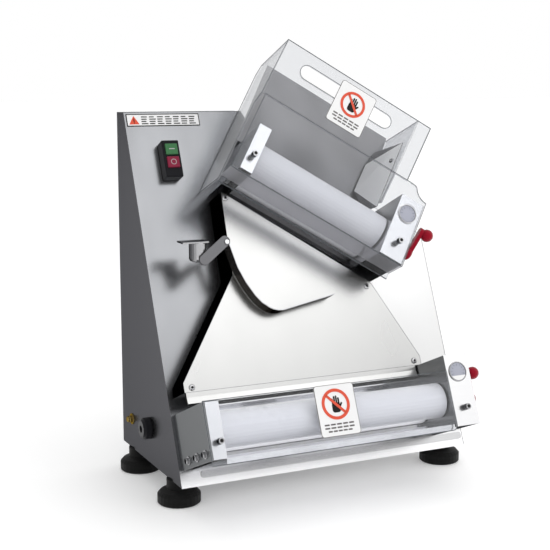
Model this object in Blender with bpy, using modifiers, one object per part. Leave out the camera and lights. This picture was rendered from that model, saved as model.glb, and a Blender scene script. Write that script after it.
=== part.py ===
"""Two-stage tabletop dough sheeter. Metres, +Z up, front towards -Y, origin at the footprint's centre."""

import math

import bmesh
import bpy
from mathutils import Matrix, Vector

MM = 0.001
GAP = 0.3 * MM

# Housing
WIDTH = 525 * MM
TOP_Z = 613 * MM
FOOT_HEIGHT = 40 * MM
TOP_DEPTH = 34.6 * MM
SLOPE = math.radians(23.4)
SHEET = 1.5 * MM
TOP_FLAT = 213 * MM
SHOULDER = (232 * MM, 570 * MM)
RIGHT_TOP_Z = 390 * MM

# The two roller units stand out from the sloped front panel
UNIT_DEPTH = 141 * MM
UPPER_TILT = math.radians(34)
UPPER_X = 127.5 * MM
UPPER_V = 474 * MM
LOWER_X = 4.5 * MM
LOWER_V = 27 * MM
UPPER_SPAN = 247.5 * MM
LOWER_SPAN = 401.5 * MM
LEFT_WIDTH = 21.5 * MM
LEFT_HEIGHT = 87.5 * MM
RIGHT_WIDTH = 43.5 * MM
RIGHT_LOW = -3.5 * MM
RIGHT_HIGH = 113 * MM

# Rollers: the front one moves along the unit's depth
ROLLER_R = 28.5 * MM
SHAFT_R = 7 * MM
REST_GAP = 3 * MM
FRONT_Y = 40 * MM
FRONT_Z = 46 * MM
REAR_Y = FRONT_Y + 2 * ROLLER_R + REST_GAP
REAR_Z = FRONT_Z
GAP_TRAVEL = 2.5 * MM

# Drive: one gearmotor and one flat belt for each unit
MOTOR = (UNIT_DEPTH + 62 * MM, REAR_Z)
MOTOR_R = 36 * MM
ROLLER_PULLEY_R = 19 * MM
MOTOR_PULLEY_R = 13 * MM
PULLEY_X = 17 * MM
PULLEY_HALF = 6 * MM
BELT_HALF = 3.5 * MM
GEAR_TEETH = 20
TOOTH_HEIGHT = 3.5 * MM

# Gap setting: a lever with a ball knob at the right of each unit, under a round scale window
LEVER_Y = 38 * MM
LEVER_Z = 41 * MM
LEVER_LEAN = {"upper": math.radians(28), "lower": math.radians(1)}
HUB_R = 11 * MM
HUB_END = 22 * MM
KNOB_R = 10.8 * MM
KNOB_REACH = 42 * MM
WINDOW_X = 20.7 * MM
WINDOW_Z = 84 * MM
WINDOW_R = 15 * MM

# Sloped chute between the units, as (x, v) on the front panel
CHUTE = [(126, 462), (122, 321), (9, 156), (9, 141), (438, 141), (438, 156), (371, 290)]
CHUTE_DEPTH = 54 * MM

# Clear covers
ACRYLIC = 3 * MM
COVER_Y = -0.5 * MM
COVER_TOP = 139 * MM
COVER_FLOOR = -5.5 * MM
COVER_LEFT = -14 * MM
COVER_RIGHT = LEFT_WIDTH + UPPER_SPAN + RIGHT_WIDTH + 0.5 * MM
HOOD_LEFT = COVER_LEFT - ACRYLIC - 0.5 * MM
HOOD_RIGHT = 247 * MM
HOOD_TOP = 254 * MM
LOWER_COVER_LEFT = -5 * MM
LOWER_COVER_RIGHT = LEFT_WIDTH + LOWER_SPAN - 2 * MM
LOWER_COVER_LOW = -9 * MM
LOWER_COVER_HIGH = 87 * MM

# Switch and its two buttons on the front panel
SWITCH_X = (50 * MM, 80 * MM)
SWITCH_V = (502 * MM, 566 * MM)
SWITCH_H = 22 * MM
BUTTON_SIZE = (21 * MM, 19 * MM)
BUTTON_V = {"start_button": 549.5 * MM, "stop_button": 527 * MM}
BUTTON_PROUD = 3 * MM
BUTTON_TRAVEL = 2 * MM
POCKET_DEPTH = 9 * MM

# Turning arm over the chute
ARM_PIVOT = (109 * MM, 369 * MM)
ARM_LOW = -CHUTE_DEPTH - 26 * MM
ARM_HIGH = -CHUTE_DEPTH - 2 * MM
POST_R = 4 * MM
WEIGHT_R = 14 * MM

# Fittings on the left side, as (y, z), and the feet, as (x, y)
GLAND = (-134 * MM, 98 * MM)
EARTH = (-50 * MM, 92 * MM)
FOOT_R = 35 * MM
FEET = {
    "front_left": (15.5, -229),
    "front_right": (509.5, -229),
    "rear_left": (15.5, -45),
    "rear_right": (509.5, -45),
}

# Cutters run this far past the faces they cut
OVER = 10 * MM


def clear_scene():
    for obj in list(bpy.data.objects):
        bpy.data.objects.remove(obj, do_unlink=True)


def new_collection(name):
    collection = bpy.data.collections.new(name)
    bpy.context.scene.collection.children.link(collection)
    return collection


def material(name, colour, roughness, metallic=0.0, alpha=1.0):
    made = bpy.data.materials.new(name)
    made.use_nodes = True
    shader = made.node_tree.nodes["Principled BSDF"]
    shader.inputs["Base Color"].default_value = (*colour, 1)
    shader.inputs["Roughness"].default_value = roughness
    shader.inputs["Metallic"].default_value = metallic
    shader.inputs["Alpha"].default_value = alpha
    return made


clear_scene()
PARTS = new_collection("dough_sheeter")
CUTTERS = new_collection("cutters")
STEEL = material("brushed_steel", (0.62, 0.63, 0.64), 0.35, 1.0)
BRIGHT = material("bright_steel", (0.75, 0.76, 0.77), 0.2, 1.0)
BLACK = material("black_rubber", (0.02, 0.02, 0.02), 0.6)
PLASTIC = material("black_plastic", (0.03, 0.03, 0.03), 0.4)
WHITE = material("white_roller_plastic", (0.9, 0.9, 0.92), 0.3)
CLEAR = material("clear_acrylic", (0.85, 0.9, 0.95), 0.05, 0.0, 0.25)
RED = material("red_plastic", (0.5, 0.01, 0.02), 0.3)
GREEN = material("green_plastic", (0.03, 0.2, 0.06), 0.35)
CAST = material("cast_aluminium", (0.4, 0.41, 0.42), 0.55, 0.8)


def frame(name, parent, matrix):
    empty = bpy.data.objects.new(name, None)
    PARTS.objects.link(empty)
    empty.parent = parent
    empty.matrix_local = matrix
    return empty


def shifted(x, y, z):
    return Matrix.Translation((x, y, z))


MACHINE = frame("machine", None, Matrix())
PANEL_FOOT_Y = -(TOP_DEPTH + (TOP_Z - FOOT_HEIGHT) * math.tan(SLOPE))
PANEL = frame("panel_frame", MACHINE, shifted(0, PANEL_FOOT_Y, FOOT_HEIGHT) @ Matrix.Rotation(-SLOPE, 4, "X"))
UPPER_PLACE = shifted(UPPER_X, -UNIT_DEPTH, UPPER_V) @ Matrix.Rotation(UPPER_TILT, 4, "Y")
UPPER = frame("upper_frame", PANEL, UPPER_PLACE)
LOWER = frame("lower_frame", PANEL, shifted(LOWER_X, -UNIT_DEPTH, LOWER_V))


def add(name, mesh, parent, look, matrix=None, smooth=True):
    """A named part. Its mesh is in the parent frame unless a matrix places it."""
    obj = bpy.data.objects.new(name, mesh)
    (PARTS if look else CUTTERS).objects.link(obj)
    obj.parent = parent
    obj.matrix_local = matrix or Matrix()
    if look:
        mesh.materials.clear()
        mesh.materials.append(look)
        if smooth:
            mesh.shade_smooth()
            mesh.set_sharp_from_angle(angle=math.radians(35))
    else:
        obj.hide_render = True
        obj.display_type = "WIRE"
    return obj


def box(name, low, high, parent, look, bevel=0.0):
    """A box from its lowest to its highest corner, with rounded edges if a width is given."""
    bm = bmesh.new()
    bmesh.ops.create_cube(bm, size=1)
    size = [high[i] - low[i] for i in range(3)]
    middle = [(high[i] + low[i]) / 2 for i in range(3)]
    bmesh.ops.scale(bm, vec=size, verts=bm.verts)
    mesh = bpy.data.meshes.new(name)
    bm.to_mesh(mesh)
    bm.free()
    obj = add(name, mesh, parent, look, shifted(*middle))
    if bevel:
        rounded = obj.modifiers.new("edges", "BEVEL")
        rounded.width = bevel
        rounded.segments = 2
    return obj


def mesh_of_curve(name, curve):
    """The curve's solid as a mesh, with its caps joined to its sides."""
    holder = bpy.data.objects.new(name, curve)
    bpy.context.scene.collection.objects.link(holder)
    graph = bpy.context.evaluated_depsgraph_get()
    graph.update()
    mesh = bpy.data.meshes.new_from_object(holder.evaluated_get(graph))
    bm = bmesh.new()
    bm.from_mesh(mesh)
    bmesh.ops.remove_doubles(bm, verts=bm.verts, dist=1e-6)
    bm.to_mesh(mesh)
    bm.free()
    bpy.data.objects.remove(holder)
    return mesh


# Each axis is the direction of an extruded outline. The outline's two coordinates are the other two axes
EXTRUDED = {
    "X": Matrix(((0, 0, 1), (1, 0, 0), (0, 1, 0))).to_4x4(),
    "Y": Matrix(((1, 0, 0), (0, 0, -1), (0, 1, 0))).to_4x4(),
    "Z": Matrix.Identity(4),
}


def plate(name, axis, outlines, low, high, parent, look):
    """One flat outline, with any further outlines as its holes, extruded along an axis between two levels."""
    curve = bpy.data.curves.new(name, "CURVE")
    curve.dimensions = "2D"
    curve.fill_mode = "BOTH"
    curve.extrude = (high - low) / 2
    for outline in outlines:
        spline = curve.splines.new("POLY")
        spline.points.add(len(outline) - 1)
        for point, (u, v) in zip(spline.points, outline):
            point.co = (u, v, 0, 1)
        spline.use_cyclic_u = True
    mesh = mesh_of_curve(name, curve)
    middle = (high + low) / 2
    turn = EXTRUDED[axis]
    mesh.transform(turn)
    offset = Vector((axis == "X", axis == "Y", axis == "Z")) * middle
    return add(name, mesh, parent, look, shifted(*offset))


def arc(centre, radius, start, end, steps):
    """Points on an arc, with its angles in degrees."""
    angles = [math.radians(start + (end - start) * i / steps) for i in range(steps + 1)]
    return [(centre[0] + radius * math.cos(a), centre[1] + radius * math.sin(a)) for a in angles]


def circle(centre, radius, steps=24):
    return arc(centre, radius, 0, 360 - 360 / steps, steps - 1)


def slot_outline(low, high, radius, steps=6):
    """A rectangle with round corners, from its lowest to its highest corner."""
    (x0, y0), (x1, y1) = low, high
    return (
        arc((x1 - radius, y1 - radius), radius, 0, 90, steps)
        + arc((x0 + radius, y1 - radius), radius, 90, 180, steps)
        + arc((x0 + radius, y0 + radius), radius, 180, 270, steps)
        + arc((x1 - radius, y0 + radius), radius, 270, 360, steps)
    )


def bent(points, thickness):
    """The outline of a sheet bent along these points, with its thickness to the left of the path."""
    path = [Vector(p) for p in points]
    sides = []
    for a, b in zip(path, path[1:]):
        along = (b - a).normalized()
        sides.append(Vector((-along.y, along.x)))
    offset = [path[0] + sides[0] * thickness]
    for i in range(1, len(path) - 1):
        mitre = (sides[i - 1] + sides[i]).normalized()
        offset.append(path[i] + mitre * thickness / mitre.dot(sides[i]))
    offset.append(path[-1] + sides[-1] * thickness)
    return [tuple(p) for p in path] + [tuple(p) for p in reversed(offset)]


def turned(name, axis, profile, place, parent, look, steps=24):
    """A profile of (radius, height) points from top to bottom, turned about an axis through a point."""
    bm = bmesh.new()
    verts = [bm.verts.new((radius, 0, height)) for radius, height in profile]
    closed = profile[0][0] > 0
    for a, b in zip(verts, verts[1:] + (verts[:1] if closed else [])):
        bm.edges.new((a, b))
    mesh = bpy.data.meshes.new(name)
    bm.to_mesh(mesh)
    bm.free()
    turn = {
        "Z": Matrix.Identity(4),
        "X": Matrix.Rotation(math.pi / 2, 4, "Y"),
        "Y": Matrix.Rotation(math.pi / 2, 4, "X"),
    }[axis]
    obj = add(name, mesh, parent, look, shifted(*place) @ turn)
    screw = obj.modifiers.new("turn", "SCREW")
    screw.steps = steps
    screw.render_steps = steps
    screw.use_merge_vertices = True
    screw.merge_threshold = 0.00001
    screw.use_smooth_shade = True
    return obj


def rod(name, axis, radius, low, high, centre, parent, look, steps=24, chamfer=0.0):
    """A solid cylinder along X between two levels, or with its head towards -Y along Y."""
    top, bottom = (high, low) if axis != "Y" else (-low, -high)
    profile = [(0, top)]
    if chamfer:
        profile += [(radius - chamfer, top), (radius, top - chamfer)]
        profile += [(radius, bottom + chamfer), (radius - chamfer, bottom)]
    else:
        profile += [(radius, top), (radius, bottom)]
    profile += [(0, bottom)]
    first, second = centre
    place = {"X": (0, first, second), "Y": (first, 0, second), "Z": (first, second, 0)}[axis]
    return turned(name, axis, profile, place, parent, look, steps)


def cut(obj, cutter, operation="DIFFERENCE"):
    boolean = obj.modifiers.new(cutter.name, "BOOLEAN")
    boolean.operation = operation
    boolean.object = cutter
    return obj


# ---------------------------------------------------------------- housing


def side_profile(inset, back, bottom):
    """The housing seen from the left, as (y, z), drawn in from its faces by an inset."""
    front_inset = inset / math.cos(SLOPE)
    top = TOP_Z - inset

    def front_y(z):
        return PANEL_FOOT_Y + (z - FOOT_HEIGHT) * math.tan(SLOPE) + front_inset

    return [(back, bottom), (front_y(bottom), bottom), (front_y(top), top), (back, top)]


def front_profile(inset, bottom):
    """The housing seen from the front, as (x, z), drawn in from its faces by an inset."""
    run = Vector((WIDTH - SHOULDER[0], RIGHT_TOP_Z - SHOULDER[1])).normalized()
    drop = inset / run.x
    return [
        (inset, bottom),
        (WIDTH - inset, bottom),
        (WIDTH - inset, RIGHT_TOP_Z - drop),
        (SHOULDER[0] - inset, SHOULDER[1] - drop),
        (TOP_FLAT - inset, TOP_Z - inset),
        (inset, TOP_Z - inset),
    ]


def housing():
    """Folded sheet housing, open at the back and below, with a window for each belt and the gland's hole."""
    shell = plate("body_shell", "X", [side_profile(0, 0, FOOT_HEIGHT)], 0, WIDTH, MACHINE, STEEL)
    low = FOOT_HEIGHT - 2 * OVER
    outer = plate("shell_outline", "Y", [front_profile(0, low)], -WIDTH, WIDTH, MACHINE, None)
    cut(shell, outer, "INTERSECT")
    hollow = [side_profile(SHEET, OVER, FOOT_HEIGHT - OVER)]
    inner = plate("shell_hollow", "X", hollow, -OVER, WIDTH + OVER, MACHINE, None)
    inner_front = plate("hollow_outline", "Y", [front_profile(SHEET, low)], -WIDTH, WIDTH, MACHINE, None)
    cut(inner, inner_front, "INTERSECT")
    cut(shell, inner)
    belt_room = 24 * MM
    for unit, span in ((UPPER, UPPER_SPAN), (LOWER, LOWER_SPAN)):
        x = LEFT_WIDTH + span + PULLEY_X
        opening = box(
            unit.name + "_belt_opening",
            (x - PULLEY_HALF - 3 * MM, UNIT_DEPTH - OVER, REAR_Z - belt_room),
            (x + PULLEY_HALF + 3 * MM, UNIT_DEPTH + OVER, REAR_Z + belt_room),
            unit,
            None,
        )
        cut(shell, opening)
    cut(shell, rod("gland_hole", "X", 10 * MM, -OVER, OVER, GLAND, MACHINE, None, 20))


def rear_cover():
    """A flat cover inside the open back, with rows of air slots."""
    outline = front_profile(SHEET + GAP, FOOT_HEIGHT + SHEET + GAP)
    slots = []
    for row in range(6):
        z = (110 + 18 * row) * MM
        for left in (70, 200, 330):
            slots.append(slot_outline((left * MM, z), ((left + 100) * MM, z + 6 * MM), 2.9 * MM, 1))
    return plate("rear_cover", "Y", [outline] + slots, -SHEET - 1 * MM, -1 * MM, MACHINE, STEEL)


def base_plate():
    low = (SHEET + GAP, PANEL_FOOT_Y + 4 * MM, FOOT_HEIGHT)
    high = (WIDTH - SHEET - GAP, -1 * MM, FOOT_HEIGHT + SHEET)
    return box("base_plate", low, high, MACHINE, STEEL)


def feet():
    """Levelling feet: a wide rubber base with a sloped shoulder under a narrow neck."""
    neck = 20 * MM
    top = FOOT_HEIGHT - GAP
    profile = [
        (0, top),
        (neck, top),
        (neck, 24 * MM),
        (30 * MM, 20.5 * MM),
        (FOOT_R, 15 * MM),
        (FOOT_R, 2 * MM),
        (FOOT_R - 2 * MM, 0),
        (0, 0),
    ]
    for name, (x, y) in FEET.items():
        turned("foot_" + name, "Z", profile, (x * MM, y * MM, 0), MACHINE, BLACK, 28)


def left_side_fittings():
    """Cable gland and earth terminal on the left side."""
    y, z = GLAND
    flange, collar, bore = 18 * MM, 9.5 * MM, 6 * MM
    ring = [(flange, 10 * MM), (flange, GAP), (collar, GAP), (collar, -8 * MM)]
    ring += [(bore, -8 * MM), (bore, 14 * MM), (14 * MM, 14 * MM)]
    obj = turned("cable_gland", "X", ring, (0, y, z), MACHINE, BLACK, 24)
    obj.matrix_local = shifted(0, y, z) @ Matrix.Rotation(-math.pi / 2, 4, "Y")
    y, z = EARTH
    rod("earth_terminal", "X", 6 * MM, -6 * MM, -GAP, (y, z), MACHINE, BRIGHT, 12, 0.8 * MM)


# ---------------------------------------------------------------- switch


def switch():
    """Black two-button housing; each button sits in a pocket that is open to the front."""
    housing_box = box(
        "switch_housing",
        (SWITCH_X[0], -SWITCH_H, SWITCH_V[0]),
        (SWITCH_X[1], -GAP, SWITCH_V[1]),
        PANEL,
        PLASTIC,
        2 * MM,
    )
    middle = sum(SWITCH_X) / 2
    half_x, half_z = BUTTON_SIZE[0] / 2, BUTTON_SIZE[1] / 2
    play = 0.4 * MM
    for name, v in BUTTON_V.items():
        pocket = box(
            name + "_pocket",
            (middle - half_x - play, -SWITCH_H - OVER, v - half_z - play),
            (middle + half_x + play, -SWITCH_H + POCKET_DEPTH, v + half_z + play),
            PANEL,
            None,
        )
        cut(housing_box, pocket)
        box(
            name,
            (middle - half_x, -SWITCH_H - BUTTON_PROUD, v - half_z),
            (middle + half_x, -SWITCH_H + POCKET_DEPTH - BUTTON_TRAVEL - 1 * MM, v + half_z),
            PANEL,
            GREEN if name == "start_button" else RED,
            1.2 * MM,
        )


# ---------------------------------------------------------------- chute


def inset_outline(points, inset):
    """A closed outline drawn in by an inset; its points run against the clock."""
    path = [Vector(p) for p in points]
    made = []
    for i, point in enumerate(path):
        before = (point - path[i - 1]).normalized()
        after = (path[(i + 1) % len(path)] - point).normalized()
        left = Vector((-before.y, before.x))
        right = Vector((-after.y, after.x))
        mitre = (left + right).normalized()
        made.append(tuple(point + mitre * inset / mitre.dot(left)))
    return made


def chute():
    """A shallow folded tray, open at the back, whose face carries the dough down to the lower rollers."""
    outline = [(x * MM, v * MM) for x, v in CHUTE]
    tray = plate("chute_plate", "Y", [outline], -CHUTE_DEPTH, -GAP, PANEL, STEEL)
    inside = inset_outline(outline, SHEET)
    cut(tray, plate("chute_hollow", "Y", [inside], -CHUTE_DEPTH + SHEET, OVER, PANEL, None))
    face = -CHUTE_DEPTH + 0.2 * MM
    lip = bent([(face, 144 * MM), (face, 133 * MM), (face - 2 * MM, 123 * MM)], SHEET * 0.8)
    cut(tray, plate("chute_lip", "X", [lip], 11 * MM, 425 * MM, PANEL, None), "UNION")


def exit_lip():
    """The folded front edge of the exit tray, with a round left end."""
    outline = slot_outline((35 * MM, 12 * MM), (521 * MM, 23.5 * MM), 4 * MM, 4)
    plate("exit_tray_lip", "Y", [outline], -GAP - 2.5 * MM, -GAP, PANEL, STEEL)


# ---------------------------------------------------------------- roller units


def unit_name(unit):
    return unit.name.replace("_frame", "")


def left_bracket(unit):
    """Open-backed housing at the left end, which holds the roller gears."""
    name = unit_name(unit) + "_left_bracket"
    high = (LEFT_WIDTH, UNIT_DEPTH - GAP, LEFT_HEIGHT)
    shell = box(name, (0, 0, 0), high, unit, STEEL)
    hollow = box(
        name + "_hollow",
        (SHEET, SHEET, -OVER),
        (LEFT_WIDTH - SHEET, UNIT_DEPTH + OVER, LEFT_HEIGHT - SHEET),
        unit,
        None,
    )
    cut(shell, hollow)
    shaft_holes(shell, unit, LEFT_WIDTH - OVER, LEFT_WIDTH + OVER)


def right_bracket(unit, span):
    """Open-backed housing at the right end, which holds the drive belt and the gap setting."""
    name = unit_name(unit) + "_right_bracket"
    x0 = LEFT_WIDTH + span
    shell = box(name, (x0, 0, RIGHT_LOW), (x0 + RIGHT_WIDTH, UNIT_DEPTH - GAP, RIGHT_HIGH), unit, STEEL)
    hollow = box(
        name + "_hollow",
        (x0 + SHEET, SHEET, RIGHT_LOW - OVER),
        (x0 + RIGHT_WIDTH - SHEET, UNIT_DEPTH + OVER, RIGHT_HIGH - SHEET),
        unit,
        None,
    )
    cut(shell, hollow)
    shaft_holes(shell, unit, x0 - OVER, x0 + OVER)
    x1 = x0 + RIGHT_WIDTH
    spot = (LEVER_Y, LEVER_Z)
    cut(shell, rod(name + "_spindle_hole", "X", 6.5 * MM, x1 - OVER, x1 + OVER, spot, unit, None, 20))
    scale = (x0 + WINDOW_X, WINDOW_Z)
    cut(shell, rod(name + "_window_hole", "Y", WINDOW_R, -OVER, OVER, scale, unit, None, 28))


def shaft_holes(shell, unit, low, high):
    """A round hole for the rear shaft, and a slot for the front shaft's travel."""
    half = SHAFT_R + 3 * MM
    cut(shell, rod(shell.name + "_rear_hole", "X", half, low, high, (REAR_Y, REAR_Z), unit, None, 20))
    run = half + GAP_TRAVEL + 0.5 * MM
    outline = slot_outline(
        (FRONT_Y - run, FRONT_Z - half),
        (FRONT_Y + run, FRONT_Z + half),
        half - 0.1 * MM,
        5,
    )
    cut(shell, plate(shell.name + "_front_slot", "X", [outline], low, high, unit, None))


def gear(name, place, x0, x1, unit, phase):
    """A spur gear drawn inside its pitch circle, so that it clears its partner at every gap."""
    pitch = 360 / GEAR_TEETH
    tip, root = ROLLER_R, ROLLER_R - TOOTH_HEIGHT
    outline = []
    for tooth in range(GEAR_TEETH):
        start = (tooth + phase) * pitch
        for radius, share in ((root, 0.0), (root, 0.22), (tip, 0.36), (tip, 0.64), (root, 0.78)):
            angle = math.radians(start + share * pitch)
            outline.append((radius * math.cos(angle), radius * math.sin(angle)))
    bore = circle((0, 0), SHAFT_R + GAP, 20)
    obj = plate(name, "X", [outline, bore], x0, x1, unit, CAST)
    obj.matrix_local = shifted((x0 + x1) / 2, place[0], place[1])
    return obj


def sleeve(name, outer, x0, x1, place, unit, look, steps=32, inner=SHAFT_R + GAP, chamfer=1 * MM):
    """A hollow cylinder along X with chamfered outer edges."""
    half = (x1 - x0) / 2
    profile = [
        (outer - chamfer, half),
        (outer, half - chamfer),
        (outer, chamfer - half),
        (outer - chamfer, -half),
        (inner, -half),
        (inner, half),
    ]
    return turned(name, "X", profile, ((x0 + x1) / 2, place[0], place[1]), unit, look, steps)


def rollers(unit, span):
    """Two plastic rollers on steel shafts, each with a gear at its left, and a pulley at the rear one's right."""
    name = unit_name(unit)
    x0, x1 = LEFT_WIDTH, LEFT_WIDTH + span
    front, rear = (FRONT_Y, FRONT_Z), (REAR_Y, REAR_Z)
    for which, place in (("front", front), ("rear", rear)):
        sleeve(f"{name}_{which}_roller", ROLLER_R, x0 + 2 * MM, x1 - 2 * MM, place, unit, WHITE)
        end = x1 + 28 * MM if which == "rear" else x1 + 9 * MM
        rod(f"{name}_{which}_shaft", "X", SHAFT_R, 4 * MM, end, place, unit, BRIGHT, 20, 0.8 * MM)
    gear(f"{name}_front_gear", front, 6 * MM, 14 * MM, unit, 0)
    gear(f"{name}_rear_gear", rear, 6 * MM, 14 * MM, unit, 0.5)
    bush = SHAFT_R + 2.7 * MM
    sleeve(name + "_gap_bush", bush, x1 - 1.6 * MM, x1 + 7.6 * MM, front, unit, CAST, 20, chamfer=0.5 * MM)
    x = x1 + PULLEY_X
    pulley(name + "_roller_pulley", ROLLER_PULLEY_R, x, rear, unit, bored(SHAFT_R + GAP))
    pulley(name + "_motor_pulley", MOTOR_PULLEY_R, x, MOTOR, unit, on_stub(5 * MM, 14 * MM))


def bored(radius):
    """The inside of a pulley with a bore."""
    return [(radius, -PULLEY_HALF), (radius, PULLEY_HALF)]


def on_stub(radius, reach):
    """The inside of a solid pulley with its own shaft end, which runs towards the motor."""
    return [(radius, -PULLEY_HALF), (radius, -reach), (0, -reach), (0, PULLEY_HALF)]


def pulley(name, radius, x, place, unit, inside):
    """A flat-belt pulley with a rim at each side of its belt."""
    rim, track = radius + 2.5 * MM, PULLEY_HALF - 1.5 * MM
    profile = [(rim, PULLEY_HALF), (rim, track), (radius, track)]
    profile += [(radius, -track), (rim, -track), (rim, -PULLEY_HALF)]
    profile += inside
    if inside[-1][0] == 0:
        profile = [inside[-1]] + profile[:-1]
    return turned(name, "X", profile, (x, place[0], place[1]), unit, CAST, 24)


def belt(unit, span):
    """A flat belt round both pulleys, with parallel faces along its straight runs."""
    x = LEFT_WIDTH + span + PULLEY_X
    distance = MOTOR[0] - REAR_Y
    outlines = []
    for extra in (2.4 * MM, 0.4 * MM):
        big, small = ROLLER_PULLEY_R + extra, MOTOR_PULLEY_R + extra
        lean = math.degrees(math.asin((big - small) / distance))
        outlines.append(
            arc((REAR_Y, REAR_Z), big, 90 - lean, 270 + lean, 16)
            + arc(MOTOR, small, -90 + lean, 90 - lean, 12)
        )
    plate(unit_name(unit) + "_drive_belt", "X", outlines, x - BELT_HALF, x + BELT_HALF, unit, BLACK)


def gearmotor(unit, span):
    """A gearmotor inside the housing; its output shaft end is part of its pulley."""
    high = LEFT_WIDTH + span + 2.5 * MM
    low = high - 144.5 * MM
    rod(unit_name(unit) + "_motor", "X", MOTOR_R, low, high, MOTOR, unit, CAST, 28, 4 * MM)


def gap_lever(unit, span):
    """Red lever on the right side: an arm on a hub and spindle, and a ball knob that points outwards."""
    name = unit_name(unit)
    x0 = LEFT_WIDTH + span + RIGHT_WIDTH
    turn = Matrix.Rotation(LEVER_LEAN[name], 4, "X")
    pivot = shifted(0, LEVER_Y, LEVER_Z) @ turn
    middle = HUB_END - 4 * MM
    arm = slot_outline((-6.5 * MM, -8 * MM), (6.5 * MM, KNOB_REACH + 7 * MM), 6.4 * MM, 5)
    lever = plate(name + "_gap_lever", "X", [arm], middle - 3.5 * MM, middle + 3.5 * MM, unit, RED)
    lever.matrix_local = pivot @ shifted(x0 + middle, 0, 0)
    spot = (LEVER_Y, LEVER_Z)
    hub = rod(name + "_hub", "X", HUB_R, x0 + 3 * MM, x0 + HUB_END, spot, unit, None, 24, 2.5 * MM)
    cut(lever, hub, "UNION")
    spindle = rod(name + "_spindle", "X", 5 * MM, x0 - 8 * MM, x0 + 5 * MM, spot, unit, None, 16, 0.5 * MM)
    cut(lever, spindle, "UNION")
    ball = 9 * MM
    profile = [(0, ball + KNOB_R)]
    for degrees in range(70, -51, -20):
        angle = math.radians(degrees)
        profile.append((KNOB_R * math.cos(angle), ball + KNOB_R * math.sin(angle)))
    profile += [(4.5 * MM, GAP), (0, GAP)]
    knob = turned(name + "_gap_knob", "X", profile, (0, 0, 0), unit, RED, 18)
    seat = shifted(x0 + middle + 3.5 * MM, 0, KNOB_REACH)
    knob.matrix_local = pivot @ seat @ Matrix.Rotation(math.pi / 2, 4, "Y")


def window(unit, span):
    """Round clear window over the gap scale."""
    spot = (LEFT_WIDTH + span + WINDOW_X, WINDOW_Z)
    radius = WINDOW_R - GAP
    rod(unit_name(unit) + "_gap_window", "Y", radius, -1.2 * MM, 3 * MM, spot, unit, PLASTIC, 28, 0.6 * MM)


def upper_cover():
    """Clear cover in front of the upper rollers: a front wall, a floor that runs back and a short lip down."""
    profile = bent(
        [(COVER_Y, COVER_TOP), (COVER_Y, COVER_FLOOR), (46 * MM, COVER_FLOOR), (47 * MM, -18 * MM)],
        -ACRYLIC,
    )
    cover = plate("upper_front_cover", "X", [profile], COVER_LEFT, COVER_RIGHT, UPPER, CLEAR)
    past = COVER_RIGHT + 2 * OVER
    above = COVER_TOP + 2 * OVER
    corner = [(COVER_RIGHT - 27 * MM, above), (275 * MM, 137.5 * MM), (284 * MM, 137.5 * MM)]
    corner += arc((COVER_RIGHT, 145 * MM), 27 * MM, 200, 270, 6)
    corner += [(past, 118 * MM), (past, above)]
    cut(cover, plate("upper_cover_corner", "Y", [corner], -OVER, OVER, UPPER, None))
    spot = (LEFT_WIDTH + UPPER_SPAN + WINDOW_X, WINDOW_Z)
    cut(cover, rod("upper_cover_window", "Y", WINDOW_R + 2 * MM, -OVER, OVER, spot, UPPER, None, 28))


def hood():
    """Clear hood over the feed: a front wall with a hand slot, and two side walls."""
    wall = bent([(0, HOOD_TOP), (14 * MM, 148 * MM)], ACRYLIC)
    front = plate("upper_hood", "X", [wall], HOOD_LEFT, HOOD_RIGHT + 26.5 * MM, UPPER, CLEAR)
    front_edge = (1 * MM, HOOD_TOP - 0.5 * MM)
    back = UNIT_DEPTH - 2 * MM
    left_side = [front_edge, (15 * MM, 150 * MM), (37 * MM, 140 * MM), (37 * MM, -16 * MM)]
    left_side += [(back, -5 * MM), (back, 250 * MM), (127 * MM, 266 * MM)]
    right_side = [front_edge, (14.5 * MM, 150 * MM), (25 * MM, 92 * MM)]
    right_side += [(112 * MM, 120 * MM), (127 * MM, 266 * MM)]
    left_wall = plate("hood_left_wall", "X", [left_side], HOOD_LEFT, HOOD_LEFT + ACRYLIC, UPPER, None)
    right_wall = plate("hood_right_wall", "X", [right_side], HOOD_RIGHT, HOOD_RIGHT + ACRYLIC, UPPER, None)
    cut(front, left_wall, "UNION")
    cut(front, right_wall, "UNION")
    hand = slot_outline((24 * MM, 207 * MM), (205 * MM, 233 * MM), 12.9 * MM, 7)
    cut(front, plate("hood_hand_slot", "Y", [hand], -3 * OVER, 3 * OVER, UPPER, None))


def feed_plate():
    """Steel plate that leads the dough down to the upper rollers."""
    profile = bent([(88 * MM, LEFT_HEIGHT + 2 * MM), (119 * MM, 268 * MM)], -SHEET)
    plate("feed_plate", "X", [profile], -9 * MM, HOOD_RIGHT - 2.5 * MM, UPPER, STEEL)


def side_guide():
    """Folded guide in the right corner of the feed, as a thin wedge that narrows towards the rollers."""
    outer = HOOD_RIGHT - 3 * MM
    points = [(outer, 22, 214), (outer, 109.5, 222), (outer, 24, 80), (outer, 82.5, 92)]
    points += [(outer - 1 * MM, 22, 214), (outer - 1 * MM, 24, 80)]
    points += [(229 * MM, 106.5, 220), (221 * MM, 99.5, 186), (216 * MM, 87.5, 121)]
    bm = bmesh.new()
    for x, y, z in points:
        bm.verts.new((x, y * MM, z * MM))
    bmesh.ops.convex_hull(bm, input=bm.verts)
    mesh = bpy.data.meshes.new("side_guide")
    bm.to_mesh(mesh)
    bm.free()
    add("side_guide", mesh, UPPER, STEEL, smooth=False)


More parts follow.
